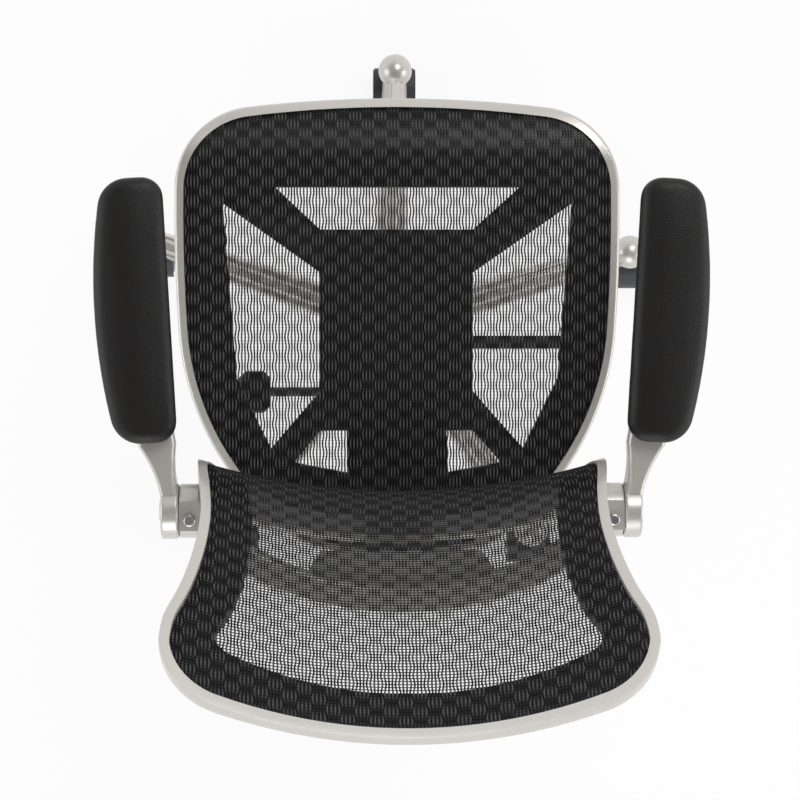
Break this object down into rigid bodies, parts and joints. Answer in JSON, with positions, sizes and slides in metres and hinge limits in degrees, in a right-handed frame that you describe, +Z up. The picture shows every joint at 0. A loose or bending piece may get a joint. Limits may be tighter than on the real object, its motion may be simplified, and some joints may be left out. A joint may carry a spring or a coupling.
{
  "type": "mesh office chair",
  "caption": "Mesh office chair with silver rims, flip-up padded arms, a tilting gas-lift seat and a star base on twin-wheel casters.",
  "frame": {"origin": "on the swivel axis at floor level", "axes": "+Z up, the sitter faces -Y, +X is the sitter's left"},
  "size_m": [0.6576, 0.7167, 0.9118],
  "materials": {
    "silver_paint": "satin silver paint",
    "black_plastic": "fine-grained moulded",
    "black_mesh": "woven checker mesh",
    "pad_skin": "self-skinned foam, fine grain",
    "black_steel": "semi-matt black powder coat",
    "bright_steel": "zinc plated",
    "caster_plastic": "charcoal nylon"
  },
  "bodies": {
    "base": {"base_star": "silver_paint", "caster_stems": "bright_steel", "column_tube": "black_steel", "column_bush": "black_plastic", "thrust_bearing": "bright_steel"},
    "rod": {"piston_rod": "bright_steel", "retaining_clip": "bright_steel"},
    "mechanism": {"pressure_cylinder": "bright_steel", "mechanism_housing": "black_steel", "tilt_pin": "bright_steel", "tension_spring": "bright_steel"},
    "valve": {"valve_pin": "bright_steel"},
    "height_control": {"height_lever": "black_steel", "height_paddle": "black_plastic"},
    "tilt_lock": {"tilt_lock_lever": "black_steel", "tilt_lock_paddle": "black_plastic"},
    "tension_control": {"tension_knob": "black_plastic", "tension_bolt": "bright_steel"},
    "seat": {"tilt_plate": "black_steel", "seat_pan": "black_plastic", "seat_frame": "silver_paint", "seat_mesh": "black_mesh", "seat_bolts": "black_steel", "back_support": "silver_paint", "back_bolts": "black_steel", "back_inner_frame": "black_plastic", "back_frame": "silver_paint", "back_mesh": "black_mesh", "arm_bracket_left": "silver_paint", "arm_bracket_right": "silver_paint", "arm_pin_left": "bright_steel", "arm_pin_right": "bright_steel", "bracket_screws": "bright_steel"},
    "arm_left_body": {"arm_left": "silver_paint", "arm_pad_left": "pad_skin", "arm_screws_left": "bright_steel"},
    "arm_right_body": {"arm_right": "silver_paint", "arm_pad_right": "pad_skin", "arm_screws_right": "bright_steel"},
    "caster_front": {"caster_front_hood": "caster_plastic", "caster_front_axle": "bright_steel"},
    "caster_front_wheel_left": {"caster_front_wheel_left": "caster_plastic"},
    "caster_front_wheel_right": {"caster_front_wheel_right": "caster_plastic"},
    "caster_right": {"caster_right_hood": "caster_plastic", "caster_right_axle": "bright_steel"},
    "caster_right_wheel_left": {"caster_right_wheel_left": "caster_plastic"},
    "caster_right_wheel_right": {"caster_right_wheel_right": "caster_plastic"},
    "caster_rear_right": {"caster_rear_right_hood": "caster_plastic", "caster_rear_right_axle": "bright_steel"},
    "caster_rear_right_wheel_left": {"caster_rear_right_wheel_left": "caster_plastic"},
    "caster_rear_right_wheel_right": {"caster_rear_right_wheel_right": "caster_plastic"},
    "caster_rear_left": {"caster_rear_left_hood": "caster_plastic", "caster_rear_left_axle": "bright_steel"},
    "caster_rear_left_wheel_left": {"caster_rear_left_wheel_left": "caster_plastic"},
    "caster_rear_left_wheel_right": {"caster_rear_left_wheel_right": "caster_plastic"},
    "caster_left": {"caster_left_hood": "caster_plastic", "caster_left_axle": "bright_steel"},
    "caster_left_wheel_left": {"caster_left_wheel_left": "caster_plastic"},
    "caster_left_wheel_right": {"caster_left_wheel_right": "caster_plastic"}
  },
  "joints": [
    {"name": "seat_swivel", "type": "hinge", "parent": "base", "child": "rod", "pos_m": [0, 0, 0.25], "axis": [0, 0, 1], "continuous": true},
    {"name": "seat_lift", "type": "slide", "parent": "rod", "child": "mechanism", "axis": [0, 0, 1], "range_m": [0, 0.09]},
    {"name": "seat_tilt", "type": "hinge", "parent": "mechanism", "child": "seat", "pos_m": [0, -0.08, 0.372], "axis": [-1, 0, 0], "range_deg": [0, 12], "stiffness_Nm_per_rad": 140, "springref_deg": -28.65, "deforming": ["tension_spring"]},
    {"name": "height_lever_lift", "type": "hinge", "parent": "mechanism", "child": "height_control", "pos_m": [-0.07825, 0.012, 0.3623], "axis": [0, 1, 0], "range_deg": [0, 3]},
    {"name": "valve_press", "type": "slide", "parent": "mechanism", "child": "valve", "axis": [0, 0, -1], "range_m": [0, 0.0045]},
    {"name": "tilt_lock_twist", "type": "hinge", "parent": "mechanism", "child": "tilt_lock", "pos_m": [0.08, 0.071, 0.33], "axis": [-1, 0, 0], "range_deg": [0, 40]},
    {"name": "tension_turn", "type": "hinge", "parent": "mechanism", "child": "tension_control", "pos_m": [0, -0.048, 0.3], "axis": [0, 0, 1], "continuous": true},
    {"name": "arm_flip_left", "type": "hinge", "parent": "seat", "child": "arm_left_body", "pos_m": [0.245, 0.184, 0.585], "axis": [-1, 0, 0], "range_deg": [0, 95]},
    {"name": "arm_flip_right", "type": "hinge", "parent": "seat", "child": "arm_right_body", "pos_m": [-0.245, 0.184, 0.585], "axis": [-1, 0, 0], "range_deg": [0, 95]},
    {"name": "caster_front_swivel", "type": "hinge", "parent": "base", "child": "caster_front", "pos_m": [-0.00777, -0.3179, 0.05], "axis": [0, 0, 1], "continuous": true},
    {"name": "caster_front_left_roll", "type": "hinge", "parent": "caster_front", "child": "caster_front_wheel_left", "pos_m": [-0.00777, -0.2999, 0.025], "axis": [1, 0, 0], "continuous": true},
    {"name": "caster_front_right_roll", "type": "hinge", "parent": "caster_front", "child": "caster_front_wheel_right", "pos_m": [-0.00777, -0.2999, 0.025], "axis": [1, 0, 0], "continuous": true},
    {"name": "caster_right_swivel", "type": "hinge", "parent": "base", "child": "caster_right", "pos_m": [-0.30475, -0.09085, 0.05], "axis": [0, 0, 1], "continuous": true},
    {"name": "caster_right_left_roll", "type": "hinge", "parent": "caster_right", "child": "caster_right_wheel_left", "pos_m": [-0.30475, -0.07285, 0.025], "axis": [1, 0, 0], "continuous": true},
    {"name": "caster_right_right_roll", "type": "hinge", "parent": "caster_right", "child": "caster_right_wheel_right", "pos_m": [-0.30475, -0.07285, 0.025], "axis": [1, 0, 0], "continuous": true},
    {"name": "caster_rear_right_swivel", "type": "hinge", "parent": "base", "child": "caster_rear_right", "pos_m": [-0.18057, 0.26176, 0.05], "axis": [0, 0, 1], "continuous": true},
    {"name": "caster_rear_right_left_roll", "type": "hinge", "parent": "caster_rear_right", "child": "caster_rear_right_wheel_left", "pos_m": [-0.18057, 0.27976, 0.025], "axis": [1, 0, 0], "continuous": true},
    {"name": "caster_rear_right_right_roll", "type": "hinge", "parent": "caster_rear_right", "child": "caster_rear_right_wheel_right", "pos_m": [-0.18057, 0.27976, 0.025], "axis": [1, 0, 0], "continuous": true},
    {"name": "caster_rear_left_swivel", "type": "hinge", "parent": "base", "child": "caster_rear_left", "pos_m": [0.19315, 0.25262, 0.05], "axis": [0, 0, 1], "continuous": true},
    {"name": "caster_rear_left_left_roll", "type": "hinge", "parent": "caster_rear_left", "child": "caster_rear_left_wheel_left", "pos_m": [0.19315, 0.27062, 0.025], "axis": [1, 0, 0], "continuous": true},
    {"name": "caster_rear_left_right_roll", "type": "hinge", "parent": "caster_rear_left", "child": "caster_rear_left_wheel_right", "pos_m": [0.19315, 0.27062, 0.025], "axis": [1, 0, 0], "continuous": true},
    {"name": "caster_left_swivel", "type": "hinge", "parent": "base", "child": "caster_left", "pos_m": [0.29995, -0.10563, 0.05], "axis": [0, 0, 1], "continuous": true},
    {"name": "caster_left_left_roll", "type": "hinge", "parent": "caster_left", "child": "caster_left_wheel_left", "pos_m": [0.29995, -0.08763, 0.025], "axis": [1, 0, 0], "continuous": true},
    {"name": "caster_left_right_roll", "type": "hinge", "parent": "caster_left", "child": "caster_left_wheel_right", "pos_m": [0.29995, -0.08763, 0.025], "axis": [1, 0, 0], "continuous": true}
  ],
  "couplings": [
    {"joint": "valve_press", "follows": "height_lever_lift", "m_per_rad": 0.078}
  ]
}
